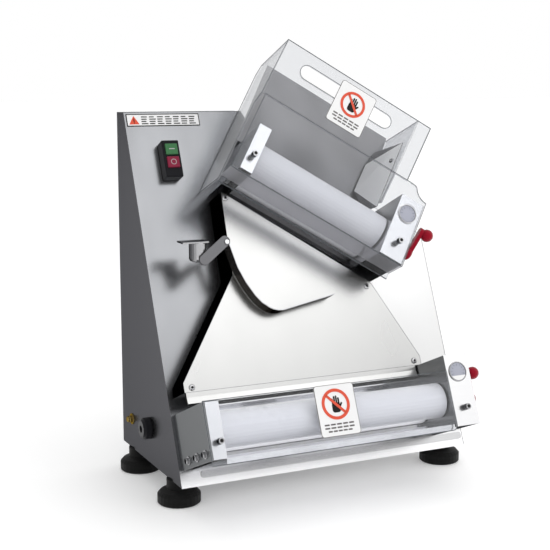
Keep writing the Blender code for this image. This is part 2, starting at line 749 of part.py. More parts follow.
def lower_cover():
    """Clear cover over the front of the lower rollers, with one round corner."""
    corner = 9 * MM
    outline = [(LOWER_COVER_LEFT, LOWER_COVER_LOW)]
    outline += arc((LOWER_COVER_RIGHT - corner, LOWER_COVER_LOW + corner), corner, -90, 0, 6)
    outline += [(LOWER_COVER_RIGHT, LOWER_COVER_HIGH), (LOWER_COVER_LEFT, LOWER_COVER_HIGH)]
    plate("lower_front_cover", "Y", [outline], COVER_Y - ACRYLIC, COVER_Y, LOWER, CLEAR)


def lower_trough():
    """Steel plate in front of and below the lower rollers, which catches flour and guides the sheet out."""
    x0, x1 = LEFT_WIDTH + 0.5 * MM, LEFT_WIDTH + LOWER_SPAN - 0.5 * MM
    profile = bent([(4 * MM, -8 * MM), (4 * MM, 1 * MM), (40 * MM, 7 * MM)], -SHEET)
    plate("lower_trough", "X", [profile], x0, x1, LOWER, STEEL)
    back_y = UNIT_DEPTH - 1.5 * MM
    back = bent([(back_y, 20 * MM), (back_y, 92 * MM), (104 * MM, 92 * MM)], SHEET)
    plate("lower_back_plate", "X", [back], x0, x1, LOWER, STEEL)


def scraper(unit, span):
    """Scraper blade under the rear roller, on a bar between the brackets."""
    name = unit_name(unit)
    x0, x1 = LEFT_WIDTH + 0.5 * MM, LEFT_WIDTH + span - 0.5 * MM
    profile = bent([(124 * MM, 8 * MM), (112 * MM, 8 * MM), (103.5 * MM, 16 * MM)], -SHEET)
    plate(name + "_scraper", "X", [profile], x0, x1, unit, BRIGHT)


# ---------------------------------------------------------------- turning arm


def turning_arm():
    """A curved strip on edge over the chute, on a pivot post, with a counterweight on a short link."""
    px, pv = ARM_PIVOT
    rod("arm_pivot_post", "Y", POST_R, ARM_LOW - 4.5 * MM, -GAP, ARM_PIVOT, PANEL, BRIGHT, 16, 0.6 * MM)
    path = [(3.5, 7.5), (4.5, -4), (12, -42), (22, -68), (34, -90), (44, -103)]
    path += arc((76, -80), 38, 225, 285, 5)
    path += [(176, -99.5)]
    points = [(px + u * MM, pv + v * MM) for u, v in path]
    plate("turning_arm_strip", "Y", [bent(points, 2 * MM)], ARM_LOW, ARM_HIGH, PANEL, BRIGHT)
    arm_link(px, pv)
    arm_counterweight(px, pv)


def arm_link(px, pv):
    """A short flat link with round ends, from the pivot post to the counterweight."""
    start = Vector((-2.5, 2)) * MM
    run = Vector((-44, -28)) * MM - start
    half = 8.4 * MM
    outline = slot_outline((-half, -half), (run.length + 7 * MM, half), half - 0.1 * MM, 5)
    turn = Matrix.Rotation(math.atan2(run.y, run.x), 2)
    placed = [(px + q.x, pv + q.y) for q in (turn @ Vector(p) + start for p in outline)]
    bore = circle(ARM_PIVOT, POST_R + GAP, 16)
    high = ARM_LOW - GAP
    plate("turning_arm_link", "Y", [placed, bore], high - 2 * MM - GAP, high, PANEL, BRIGHT)


def arm_counterweight(px, pv):
    """An upright cylinder with a domed lower end, and the flat tab on its top."""
    top, rim = 14 * MM, -12 * MM
    profile = [(0, top), (WEIGHT_R - 0.5 * MM, top), (WEIGHT_R, top - 1 * MM), (WEIGHT_R, rim)]
    for degrees in (30, 60, 80):
        angle = math.radians(degrees)
        profile.append((WEIGHT_R * math.cos(angle), rim - 6 * MM * math.sin(angle)))
    profile += [(0, rim - 6 * MM)]
    weight = turned("arm_counterweight", "Z", profile, (0, 0, 0), PANEL, STEEL, 24)
    upright = shifted(px - 46 * MM, ARM_LOW + 12.5 * MM, pv - 8 * MM) @ Matrix.Rotation(SLOPE, 4, "X")
    weight.matrix_local = upright
    tab = box("arm_stop_tab", (-30 * MM, -13 * MM, 0), (14 * MM, 13 * MM, 2.2 * MM), PANEL, STEEL)
    tab.matrix_local = upright @ shifted(-8 * MM, 0, top + GAP + 1.1 * MM)


def footprint():
    """The lowest and highest corners of all parts, in world space."""
    bpy.context.view_layer.update()
    graph = bpy.context.evaluated_depsgraph_get()
    corners = []
    for obj in PARTS.objects:
        if obj.type != "MESH":
            continue
        evaluated = obj.evaluated_get(graph)
        corners += [evaluated.matrix_world @ v.co for v in evaluated.data.vertices]
    low = [min(c[i] for c in corners) for i in range(3)]
    high = [max(c[i] for c in corners) for i in range(3)]
    return low, high


def build():
    housing()
    rear_cover()
    base_plate()
    feet()
    left_side_fittings()
    switch()
    chute()
    exit_lip()
    for unit, span in ((UPPER, UPPER_SPAN), (LOWER, LOWER_SPAN)):
        left_bracket(unit)
        right_bracket(unit, span)
        rollers(unit, span)
        belt(unit, span)
        gearmotor(unit, span)
        gap_lever(unit, span)
        window(unit, span)
        scraper(unit, span)
    upper_cover()
    hood()
    feed_plate()
    side_guide()
    lower_cover()
    lower_trough()
    turning_arm()
    low, high = footprint()
    MACHINE.location = (-(low[0] + high[0]) / 2, -(low[1] + high[1]) / 2, -low[2])
    bpy.context.view_layer.update()


build()
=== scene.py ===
"""Looks, small hardware, lights and camera for the dough sheeter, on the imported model."""

import math

import bmesh
import bpy
from mathutils import Matrix, Vector


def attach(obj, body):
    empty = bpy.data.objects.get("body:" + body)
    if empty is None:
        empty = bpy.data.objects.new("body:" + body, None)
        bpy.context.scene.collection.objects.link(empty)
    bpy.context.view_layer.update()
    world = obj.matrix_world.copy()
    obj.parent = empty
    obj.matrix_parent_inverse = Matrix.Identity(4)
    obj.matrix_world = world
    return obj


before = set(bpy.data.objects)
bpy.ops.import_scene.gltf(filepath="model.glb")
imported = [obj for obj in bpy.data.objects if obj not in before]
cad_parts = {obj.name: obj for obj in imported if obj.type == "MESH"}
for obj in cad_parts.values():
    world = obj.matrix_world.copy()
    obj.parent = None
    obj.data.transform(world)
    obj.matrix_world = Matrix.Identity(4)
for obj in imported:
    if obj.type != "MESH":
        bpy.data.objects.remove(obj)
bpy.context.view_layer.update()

MM = 0.001
HOUSING = "housing"

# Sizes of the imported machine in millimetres, as in the part's source
WIDTH = 525
BACK_Y = 204.01
TOP_Z = 613
FOOT_HEIGHT = 40
TOP_DEPTH = 34.6
TOP_FLAT = 213
SHOULDER_X, SHOULDER_Z = 232, 570
RIGHT_TOP_Z = 390
SLOPE = math.radians(23.4)
UNIT_DEPTH = 141
UPPER_TILT = math.radians(34)
CHUTE_FACE = -54
CHUTE_OUTLINE = [(371, 290), (438, 156), (438, 141), (9, 141), (9, 156), (122, 321)]
CHUTE_SCREWS = [(131.5, 451), (362, 284), (425, 149), (22, 148)]
COVER_FACE = -3.5
WINDOW_Z = 84
UPPER_WINDOW_X = 289.7
LOWER_WINDOW_X = 443.7
UPPER_SCREW_Z = 27.9
LOWER_SCREW_Z = 25.4
HOOD_TOP = 254
HOOD_LOW = 148
HOOD_LEAN = 14
SWITCH_X = 65
BUTTON_FACE = -25
START_Z = 549.5
STOP_Z = 527
BACK_SCREWS = [(20, 60), (505, 60), (20, 330), (505, 330), (20, 590), (190, 590)]

# The nested frames: the sloped front panel, and the two roller units that stand out from it
MACHINE = Matrix.Translation((-WIDTH / 2 * MM, BACK_Y * MM, 0))
PANEL_Y = -(TOP_DEPTH + (TOP_Z - FOOT_HEIGHT) * math.tan(SLOPE))
PANEL = MACHINE @ Matrix.Translation((0, PANEL_Y * MM, FOOT_HEIGHT * MM)) @ Matrix.Rotation(-SLOPE, 4, "X")
UPPER_CORNER = PANEL @ Matrix.Translation((127.5 * MM, -UNIT_DEPTH * MM, 474 * MM))
UPPER = UPPER_CORNER @ Matrix.Rotation(UPPER_TILT, 4, "Y")
LOWER = PANEL @ Matrix.Translation((4.5 * MM, -UNIT_DEPTH * MM, 27 * MM))

# ---------------------------------------------------------------- materials


class Look:
    """A node material on one Principled shader, with helpers that add its nodes."""

    def __init__(self, name, colour, roughness, metallic=0.0):
        self.material = bpy.data.materials.new(name)
        self.material.use_nodes = True
        self.nodes = self.material.node_tree.nodes
        self.links = self.material.node_tree.links
        self.shader = self.nodes["Principled BSDF"]
        self.shader.inputs["Base Color"].default_value = (*colour, 1)
        self.shader.inputs["Roughness"].default_value = roughness
        self.shader.inputs["Metallic"].default_value = metallic
        self.coords = self.nodes.new("ShaderNodeTexCoord").outputs["Object"]

    def noise(self, scale, detail=4.0, stretch=(1, 1, 1), roughness=0.6):
        """A noise pattern in object space, stretched by its scale along each axis."""
        mapping = self.nodes.new("ShaderNodeMapping")
        mapping.inputs["Scale"].default_value = stretch
        self.links.new(self.coords, mapping.inputs["Vector"])
        texture = self.nodes.new("ShaderNodeTexNoise")
        texture.inputs["Scale"].default_value = scale
        texture.inputs["Detail"].default_value = detail
        texture.inputs["Roughness"].default_value = roughness
        self.links.new(mapping.outputs["Vector"], texture.inputs["Vector"])
        return texture.outputs["Fac"]

    def ramp(self, value, stops):
        """Grey levels for a value: stops are (position, level)."""
        node = self.nodes.new("ShaderNodeValToRGB")
        elements = node.color_ramp.elements
        while len(elements) < len(stops):
            elements.new(0.5)
        for element, (position, level) in zip(elements, stops):
            element.position = position
            element.color = (level, level, level, 1)
        self.links.new(value, node.inputs["Fac"])
        return node.outputs["Color"]

    def mix(self, factor, a, b):
        """Two colours mixed by a factor. Each may be a value or a socket."""
        node = self.nodes.new("ShaderNodeMix")
        node.data_type = "RGBA"
        for value, socket in ((factor, node.inputs[0]), (a, node.inputs[6]), (b, node.inputs[7])):
            if isinstance(value, bpy.types.NodeSocket):
                self.links.new(value, socket)
            elif isinstance(value, tuple):
                socket.default_value = (*value, 1)
            else:
                socket.default_value = value
        return node.outputs[2]

    def facing(self, direction, low, high):
        """1 where a face's normal points along a direction in world space, 0 where it doesn't."""
        geometry = self.nodes.new("ShaderNodeNewGeometry")
        dot = self.nodes.new("ShaderNodeVectorMath")
        dot.operation = "DOT_PRODUCT"
        dot.inputs[1].default_value = direction
        self.links.new(geometry.outputs["Normal"], dot.inputs[0])
        return self.stepped(dot.outputs["Value"], low, high)

    def height(self, direction, low, high):
        """0 to 1 along a direction in object space, between two distances from the origin."""
        dot = self.nodes.new("ShaderNodeVectorMath")
        dot.operation = "DOT_PRODUCT"
        dot.inputs[1].default_value = direction
        self.links.new(self.coords, dot.inputs[0])
        return self.stepped(dot.outputs["Value"], low, high)

    def stepped(self, value, low, high):
        """A value eased from 0 at a low level to 1 at a high one."""
        node = self.nodes.new("ShaderNodeMapRange")
        node.interpolation_type = "SMOOTHSTEP"
        node.inputs["From Min"].default_value = low
        node.inputs["From Max"].default_value = high
        self.links.new(value, node.inputs["Value"])
        return node.outputs["Result"]

    def paint(self, value):
        """Sets the colour, and the tint that metal keeps at grazing angles."""
        self.links.new(value, self.shader.inputs["Base Color"])
        self.links.new(value, self.shader.inputs["Specular Tint"])

    def rough(self, value, low, high):
        """Roughness between two levels, by a value from 0 to 1."""
        node = self.nodes.new("ShaderNodeMapRange")
        node.inputs["To Min"].default_value = low
        node.inputs["To Max"].default_value = high
        self.links.new(value, node.inputs["Value"])
        self.links.new(node.outputs["Result"], self.shader.inputs["Roughness"])

    def bump(self, value, strength, distance=0.0003):
        """Fine relief from a value."""
        node = self.nodes.new("ShaderNodeBump")
        node.inputs["Strength"].default_value = strength
        node.inputs["Distance"].default_value = distance
        self.links.new(value, node.inputs["Height"])
        self.links.new(node.outputs["Normal"], self.shader.inputs["Normal"])


X_AXIS = (1, 0, 0)
LEFT = (-1, 0, 0)
PANEL_UP = tuple(PANEL.to_3x3() @ Vector((0, 0, 1)))
PANEL_DOWN = tuple(PANEL.to_3x3() @ Vector((0, 0, -1)))
PANEL_OUT = tuple(PANEL.to_3x3() @ Vector((0, -1, 0)))
UNIT_DOWN = tuple(UPPER.to_3x3() @ Vector((0, 0, -1)))
UNIT_UP = tuple(UPPER.to_3x3() @ Vector((0, 0, 1)))
GUIDE_FACE = tuple(UPPER.to_3x3() @ Vector((-0.9616, -0.2744, 0)))
CHUTE_UP = tuple(Vector((0.35, 0, 1)).normalized())


def steel(
    name, colour, roughness, along, shade=(), cloud=0.12, metallic=1.0, streak=0.12, fade=(), relief=0.05
):
    """Brushed sheet with fine streaks along its smallest stretch and soft clouds.

    A shade paints a tone on faces by how they turn, darker as painted shade and lighter as painted light: a
    direction, two values of how far a face turns to it, and the tone of a face that does.
    A fade paints a gradient of light and shade: a direction, two distances along it, and the tone that the
    sheet reaches at the second one.
    """
    look = Look(name, colour, roughness, metallic)
    streaks = look.noise(9, 6, along, 0.7)
    clouds = look.noise(7, 3, (1, 0.7, 0.5))
    clouded = tuple(c * 0.45 for c in colour)
    streaked = tuple(c * 0.62 for c in colour)
    base = look.mix(look.ramp(clouds, [(0.3, 0.0), (0.75, cloud)]), colour, clouded)
    base = look.mix(look.ramp(streaks, [(0.3, 0.0), (0.8, streak)]), base, streaked)
    for direction, low, high, tone in fade:
        base = look.mix(look.height(direction, low, high), base, tone)
    for direction, low, high, dark in shade:
        base = look.mix(look.facing(direction, low, high), base, dark)
    look.paint(base)
    look.rough(clouds, roughness * 0.9, roughness * 1.15)
    look.bump(streaks, relief)
    return look


def plastic(name, colour, roughness, grain=300, strength=0.1):
    """Moulded plastic with fine grain and slight wear."""
    look = Look(name, colour, roughness)
    grain_value = look.noise(grain, 3)
    wear = look.noise(14, 4)
    worn = tuple(min(1, c * 1.35 + 0.01) for c in colour)
    base = look.mix(look.ramp(wear, [(0.45, 0.0), (0.8, 0.25)]), colour, worn)
    look.paint(base)
    look.rough(wear, roughness * 0.8, min(1, roughness * 1.25))
    look.bump(grain_value, strength, 0.0001)
    return look


def clear_sheet(name, tint, gloss, floor_shade):
    """Clear acrylic with a faint tint and a Fresnel sheen. Its floor and top let less light through, a
    painted shade.
    """
    look = Look(name, tint, 0.05)
    out = look.nodes["Material Output"]
    clear = look.nodes.new("ShaderNodeBsdfTransparent")
    flat = look.mix(look.facing(UNIT_DOWN, 0.8, 0.95), tint, floor_shade)
    flat = look.mix(look.facing(UNIT_UP, 0.8, 0.95), flat, floor_shade)
    look.links.new(flat, clear.inputs["Color"])
    weight = look.nodes.new("ShaderNodeLayerWeight")
    weight.inputs["Blend"].default_value = gloss
    scratches = look.noise(60, 6, (1, 1, 8), 0.7)
    look.rough(scratches, 0.03, 0.1)
    look.shader.inputs["IOR"].default_value = 1.49
    fade = look.nodes.new("ShaderNodeMath")
    fade.operation = "MULTIPLY_ADD"
    fade.inputs[1].default_value = 0.4
    fade.inputs[2].default_value = 0.03
    look.links.new(weight.outputs["Fresnel"], fade.inputs[0])
    mixed = look.nodes.new("ShaderNodeMixShader")
    look.links.new(fade.outputs["Value"], mixed.inputs["Fac"])
    look.links.new(clear.outputs["BSDF"], mixed.inputs[1])
    look.links.new(look.shader.outputs["BSDF"], mixed.inputs[2])
    look.links.new(mixed.outputs["Shader"], out.inputs["Surface"])
    return look


STREAK_X = (2, 40, 40)
FINE = (30, 30, 30)
FINER = (60, 60, 60)
# Painted shade and light: the darker see-through tint of the cover floors, the black of painted shade, the
# darker left side of the body, the lighter right of the front panel, the lighter bottom strip of the panel
# and the darker top of the chute
UPPER_FLOOR_SHADE = (0.70, 0.70, 0.72)
LOWER_FLOOR_SHADE = (0.9, 0.9, 0.92)
SHADE_BLACK = (0.012, 0.012, 0.014)
SIDE_SHADE = (0.225, 0.225, 0.233)
RIGHT_LIT_TONE = (0.66, 0.66, 0.66)
LOW_LIT_TONE = (0.92, 0.92, 0.93)
CHUTE_TOP_SHADE = (0.245, 0.24, 0.235)


def sheet_looks():
    """Steel of the body, the chute, the brackets and the feed."""
    return {
        # Painted light and shade on the body: the front panel painted lighter towards the right, the strip
        # below the lower unit painted lighter, and the left side painted darker
        "shell": steel(
            "shell_steel", (0.27, 0.275, 0.287), 0.24, STREAK_X, [(LEFT, 0.6, 0.95, SIDE_SHADE)], 0.3,
            streak=0.05, relief=0.015,
            fade=[(X_AXIS, -0.12, 0.27, RIGHT_LIT_TONE), (PANEL_DOWN, -0.036, -0.026, LOW_LIT_TONE)],
        ),
        # Painted shade on the chute: its left side walls painted black, and its top painted darker as the
        # shade under the upper unit
        "chute": steel(
            "chute_steel", (0.53, 0.53, 0.525), 0.26, STREAK_X, [(LEFT, 0.2, 0.6, SHADE_BLACK)], 0.12,
            streak=0.03, relief=0.008, fade=[(CHUTE_UP, 0.31, 0.5, CHUTE_TOP_SHADE)],
        ),
        # Painted shade: the undersides of the upper brackets painted black
        "bracket": steel(
            "bracket_steel", (0.76, 0.76, 0.77), 0.24, STREAK_X, [(UNIT_DOWN, 0.6, 0.9, SHADE_BLACK)], 0.05,
            relief=0.01,
        ),
        # Painted shade: the left sides and the top faces of the brackets painted darker
        "side": steel(
            "bracket_side_steel", (0.84, 0.84, 0.85), 0.22, STREAK_X,
            [(LEFT, 0.5, 0.9, (0.29, 0.295, 0.30)), (PANEL_UP, 0.6, 0.9, (0.22, 0.22, 0.23))], 0.1,
            relief=0.01,
        ),
        "feed": steel("feed_steel", (0.30, 0.30, 0.31), 0.34, STREAK_X, (), 0.75, streak=0.08),
        # Painted light and shade on the side guide: the facet turned along GUIDE_FACE painted light, the
        # other faces kept dark as painted shade
        "guide": steel(
            "guide_steel", (0.14, 0.14, 0.15), 0.3, (20, 20, 3),
            [(GUIDE_FACE, 0.96, 0.99, (0.95, 0.95, 0.95))], 0.2, 0.3, relief=0.01,
        ),
        # The strong dark clouds and streaks of the trough are partly brushed grain and partly painted
        # reflections of its bright finish
        "trough": steel(
            "trough_steel", (0.92, 0.92, 0.94), 0.14, (6, 30, 30), (), 0.5, streak=0.5, relief=0.02
        ),
        "lip": steel("lip_steel", (0.62, 0.62, 0.63), 0.22, STREAK_X, (), 0.05),
    }


def small_metal_looks():
    """Steel, aluminium and brass of the turning arm, the fittings and the drive."""
    return {
        "bright": steel("bright_steel", (0.52, 0.52, 0.53), 0.14, FINE, (), 0.03),
        # Painted light and shade on the arm strip: dark faces as painted shade, and the face turned out from
        # the panel painted lighter as a highlight
        "arm": steel(
            "arm_steel", (0.13, 0.125, 0.12), 0.2, FINE, [(PANEL_OUT, 0.5, 0.9, (0.40, 0.40, 0.41))], 0.1,
            relief=0.01,
        ),
        # Painted light and shade on the link: dark faces as painted shade, with the faces turned up the
        # panel painted lighter
        "link": steel(
            "link_steel", (0.10, 0.10, 0.105), 0.24, FINE, [(PANEL_UP, 0.1, 0.8, (0.34, 0.34, 0.35))], 0.1,
            relief=0.01,
        ),
        # Painted shade: faces turned left or right are painted darker, on the counterweight and on every
        # part with this look
        "weight": steel(
            "weight_steel", (0.46, 0.46, 0.47), 0.22, (40, 40, 40),
            [(LEFT, 0.35, 0.95, (0.10, 0.10, 0.105)), (X_AXIS, 0.35, 0.95, (0.14, 0.14, 0.145))], 0.1,
            relief=0.01,
        ),
        "cast": steel("cast_aluminium", (0.42, 0.43, 0.44), 0.5, FINER, (), 0.2, 0.8),
        "motor": steel("motor_grey", (0.25, 0.26, 0.28), 0.5, FINER, (), 0.2, 0.3),
        "brass": steel("brass", (0.36, 0.27, 0.10), 0.3, (40, 40, 40), (), 0.1),
    }


def plastic_looks():
    """Rollers, rubber, switch, levers, sign plates and the clear sheets."""
    return {
        "roller": plastic("roller_white", (0.93, 0.93, 0.965), 0.28, 160, 0.04),
        "rubber": plastic("black_rubber", (0.012, 0.012, 0.012), 0.55, 400, 0.25),
        "black": plastic("black_plastic", (0.015, 0.015, 0.017), 0.35, 500, 0.15),
        "red": plastic("red_plastic", (0.27, 0.010, 0.022), 0.2, 200, 0.03),
        "red_button": plastic("red_button", (0.21, 0.025, 0.05), 0.3, 300, 0.05),
        "green_button": plastic("green_button", (0.055, 0.16, 0.07), 0.3, 300, 0.05),
        "window": plastic("scale_window", (0.36, 0.37, 0.43), 0.15, 60, 0.02),
        "mark": plastic("button_mark", (0.42, 0.42, 0.42), 0.4, 200, 0.03),
        "paper": plastic("sign_white", (0.80, 0.80, 0.80), 0.35, 200, 0.03),
        "ink_red": plastic("sign_red", (0.66, 0.10, 0.06), 0.4, 200, 0.03),
        # Black print of the signs, and black discs as painted shade in the screw recesses
        "black_ink_and_shade": plastic("black_ink_and_recess_shade", (0.02, 0.02, 0.02), 0.4, 200, 0.03),
        "ink_grey": plastic("sign_grey", (0.13, 0.12, 0.12), 0.4, 200, 0.03),
        # Dark edge beads as painted shade of the cut edges, and the printed dial graduations
        "edge": plastic("edge_shade_and_dial_marks", (0.09, 0.1, 0.11), 0.15, 200, 0.03),
        "clear": clear_sheet("clear_acrylic", (0.90, 0.905, 0.915), 0.22, UPPER_FLOOR_SHADE),
        "clear_low": clear_sheet("clear_acrylic_low", (0.93, 0.935, 0.945), 0.22, LOWER_FLOOR_SHADE),
    }


LOOKS = {**sheet_looks(), **small_metal_looks(), **plastic_looks()}

NODE_LOOKS = {
    "body_shell": "shell", "rear_cover": "shell", "base_plate": "shell", "chute_plate": "chute",
    "exit_tray_lip": "lip", "feed_plate": "feed", "side_guide": "guide", "lower_trough": "trough",
    "lower_back_plate": "trough", "arm_stop_tab": "weight", "arm_counterweight": "weight",
    "switch_housing": "black", "start_button": "green_button", "stop_button": "red_button",
    "cable_gland": "black", "earth_terminal": "brass", "arm_pivot_post": "bright",
    "turning_arm_strip": "arm", "turning_arm_link": "link", "upper_front_cover": "clear",
    "upper_hood": "clear", "lower_front_cover": "clear_low",
}
ENDINGS = {
    "left_bracket": "side", "right_bracket": "side", "roller": "roller", "shaft": "bright",
    "scraper": "bright",
    "gear": "cast", "bush": "cast", "pulley": "cast", "belt": "rubber", "motor": "motor",
    "lever": "red", "knob": "red", "window": "window",
}


def look_of(node):
    """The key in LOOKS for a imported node, by its name or by the end of its name."""
    if node.startswith("foot_"):
        return "rubber"
    if node in NODE_LOOKS:
        return NODE_LOOKS[node]
    return next(look for ending, look in ENDINGS.items() if node.endswith(ending))


def dress_nodes():
    """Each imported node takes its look."""
    for name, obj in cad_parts.items():
        look = LOOKS[look_of(name)]
        if name.startswith("upper_") and name.endswith("bracket"):
            look = LOOKS["bracket"]
        if not obj.material_slots:
            obj.data.materials.append(look.material)
        for material_slot in obj.material_slots:
            material_slot.material = look.material


# ---------------------------------------------------------------- pieces


def piece(name, bm, place, look, body=HOUSING, smooth=True, bevel=0.0):
    """A new piece from mesh data in millimetres, put in place in world space, which rides on a body."""
    mesh = bpy.data.meshes.new(name)
    bmesh.ops.recalc_face_normals(bm, faces=bm.faces)
    bm.to_mesh(mesh)
    bm.free()
    mesh.transform(place @ Matrix.Scale(MM, 4))
    mesh.materials.append(LOOKS[look].material)
    obj = bpy.data.objects.new(name, mesh)
    bpy.context.scene.collection.objects.link(obj)
    if bevel:
        rounded = obj.modifiers.new("edges", "BEVEL")
        rounded.width = bevel * MM
        rounded.segments = 2
        rounded.limit_method = "ANGLE"
    if smooth:
        mesh.shade_smooth()
        mesh.set_sharp_from_angle(angle=math.radians(35))
    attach(obj, body)
    return obj


def prism(bm, outline, low, high):
    """An outline in (x, z) between two depths along y."""
    rings = [[bm.verts.new((x, y, z)) for x, z in outline] for y in (low, high)]
    bm.faces.new(rings[0])
    bm.faces.new(list(reversed(rings[1])))
    count = len(outline)
    for i in range(count):
        j = (i + 1) % count
        bm.faces.new((rings[0][i], rings[0][j], rings[1][j], rings[1][i]))


def ring_prism(bm, centre, outer, inner, low, high, steps=48):
    """A flat ring between two depths along y."""
    loops = []
    for radius, y in ((outer, low), (outer, high), (inner, high), (inner, low)):
        loops.append([])
        for i in range(steps):
            angle = 2 * math.pi * i / steps
            spot = (centre[0] + radius * math.cos(angle), y, centre[1] + radius * math.sin(angle))
            loops[-1].append(bm.verts.new(spot))
    for a, b in zip(loops, loops[1:] + loops[:1]):
        for i in range(steps):
            j = (i + 1) % steps
            bm.faces.new((a[i], a[j], b[j], b[i]))


def rounded(x0, z0, x1, z1, radius, steps=6):
    """A rectangle with round corners."""
    points = []
    left, right, low, high = x0 + radius, x1 - radius, z0 + radius, z1 - radius
    for x, z, start in ((right, high, 0), (left, high, 90), (left, low, 180), (right, low, 270)):
        for i in range(steps + 1):
            angle = math.radians(start + 90 * i / steps)
            points.append((x + radius * math.cos(angle), z + radius * math.sin(angle)))
    return points


def lathe(bm, profile, steps=28):
    """A profile of (radius, y) points turned about the y axis, closed at both ends."""
    rings = []
    for radius, y in profile:
        ring = []
        for i in range(steps):
            angle = 2 * math.pi * i / steps
            ring.append(bm.verts.new((radius * math.cos(angle), y, radius * math.sin(angle))))
        rings.append(ring)
    for a, b in zip(rings, rings[1:]):
        for i in range(steps):
            j = (i + 1) % steps
            bm.faces.new((a[i], a[j], b[j], b[i]))
    bm.faces.new(rings[0])
    bm.faces.new(rings[-1])


def at(frame_matrix, x, y, z):
    """A frame moved by millimetres along its own axes."""
    return frame_matrix @ Matrix.Translation((x * MM, y * MM, z * MM))


def sign_hand(bm, x, z):
    """A plain raised hand: a palm, four fingers and a thumb."""
    low, high, finger_width, pitch = -1.45, -1.1, 2.7, 3.5
    prism(bm, rounded(x - 7, z - 13, x + 7, z + 2, 4), low, high)
    for i, tip in enumerate((9, 12.5, 13, 10)):
        left = x - 6.4 + i * pitch
        prism(bm, rounded(left, z - 2, left + finger_width, z + tip, 1.3, 3), low, high)
    prism(bm, [(x + 6, z - 8), (x + 11.5, z + 1), (x + 9.5, z + 2.5), (x + 5, z - 3)], low, high)


def sign_ring(bm, x, z, radius):
    """A ring with a bar from its upper left to its lower right."""
    ring_prism(bm, (x, z), radius, radius * 0.8, -1.7, -1.1)
    half = radius * 0.09
    reach = radius * 0.86 / math.sqrt(2)
    slant = half / math.sqrt(2)
    bar = [(x - reach - slant, z + reach - slant), (x + reach - slant, z - reach - slant)]
    bar += [(x + reach + slant, z - reach + slant), (x - reach + slant, z + reach + slant)]
    prism(bm, bar, -1.7, -1.5)


def sign_bars(bm, x0, x1, z0):
    """Three rows of short bars in place of lettering, the lowest row a little narrower."""
    count, pitch, bar_height = 5, 5.2, 2.4
    for row in range(3):
        z = z0 + 6 + row * pitch
        edge = 7 if row else 12
        step = (x1 - x0 - 2 * edge) / count
        for k in range(count):
            x = x0 + edge + k * step
            prism(bm, rounded(x, z, x + step * 0.8, z + bar_height, 0.6, 2), -1.4, -1.1)


def sign(name, place, low, high, ring_centre, ring_r):
    """A white plate with a dark border, a plain ring and bar over a dark hand, and grey bars below."""
    (x0, z0), (x1, z1) = low, high
    border, back, corner = 0.8, 0.9, 4
    bm = bmesh.new()
    prism(bm, rounded(x0 - border, z0 - border, x1 + border, z1 + border, corner + border), -1, -0.3)
    piece(name + "_border", bm, place, "ink_grey", smooth=False)
    bm = bmesh.new()
    prism(bm, rounded(x0 - back, z0 - back, x1 + back, z1 + back, corner + back), -0.3, 0)
    prism(bm, rounded(x0, z0, x1, z1, corner), -1.2, -0.9)
    piece(name + "_plate", bm, place, "paper", bevel=0.3)
    bm = bmesh.new()
    sign_hand(bm, *ring_centre)
    piece(name + "_mark", bm, place, "black_ink_and_shade", smooth=False)
    bm = bmesh.new()
    sign_ring(bm, *ring_centre, ring_r)
    piece(name + "_ring", bm, place, "ink_red", smooth=False)
    bm = bmesh.new()
    sign_bars(bm, x0, x1, z0)
    piece(name + "_bars", bm, place, "ink_grey", smooth=False)


def notice_strip():
    """White strip with a black border, a red triangle and dark bars at the top of the front panel."""
    left, low, right, high, border = 3, 599, 133, 621, 1.6
    bm = bmesh.new()
    prism(bm, rounded(left, low, right, high, 0.6, 2), -0.5, 0)
    piece("notice_strip_border", bm, PANEL, "black_ink_and_shade", smooth=False)
    bm = bmesh.new()
    face = rounded(left + border, low + border, right - border, high - border, 0.4, 2)
    prism(bm, face, -0.7, -0.3)
    piece("notice_strip_face", bm, PANEL, "paper", smooth=False)
    middle = 16
    bm = bmesh.new()
    prism(bm, [(middle - 9, 602.5), (middle + 9, 602.5), (middle, 617.5)], -0.9, -0.6)
    piece("notice_strip_triangle", bm, PANEL, "ink_red", smooth=False)
    bm = bmesh.new()
    prism(bm, [(middle - 1, 607), (middle + 1, 607), (middle + 0.6, 613), (middle - 0.6, 613)], -1.0, -0.8)
    prism(bm, rounded(middle - 0.9, 604.2, middle + 0.9, 606, 0.8, 3), -1.0, -0.8)
    rows, columns, row_pitch, column_pitch = 4, 7, 4, 14.2
    for i in range(rows):
        z = 602.6 + i * row_pitch
        for k in range(columns):
            x = 29 + k * column_pitch
            reach = 11.6 - (i * 3 + k * 2) % 4
            prism(bm, rounded(x, z, x + reach, z + 1.8, 0.5, 2), -0.9, -0.6)
    piece("notice_strip_bars", bm, PANEL, "black_ink_and_shade", smooth=False)


def dome_screw(name, place, radius, height, look="bright"):
    """A domed head with a hexagon recess, with a black disc in it as painted shade."""
    bm = bmesh.new()
    profile = [(radius, 0), (radius, -height * 0.35), (radius * 0.86, -height * 0.75)]
    profile += [(radius * 0.62, -height), (radius * 0.46, -height), (radius * 0.42, -height * 0.35)]
    lathe(bm, profile, 24)
    piece(name, bm, place, look)
    bm = bmesh.new()
    lathe(bm, [(radius * 0.41, -height * 0.4), (radius * 0.41, -height * 0.5)], 6)
    piece(name + "_recess", bm, place, "black_ink_and_shade", smooth=False)


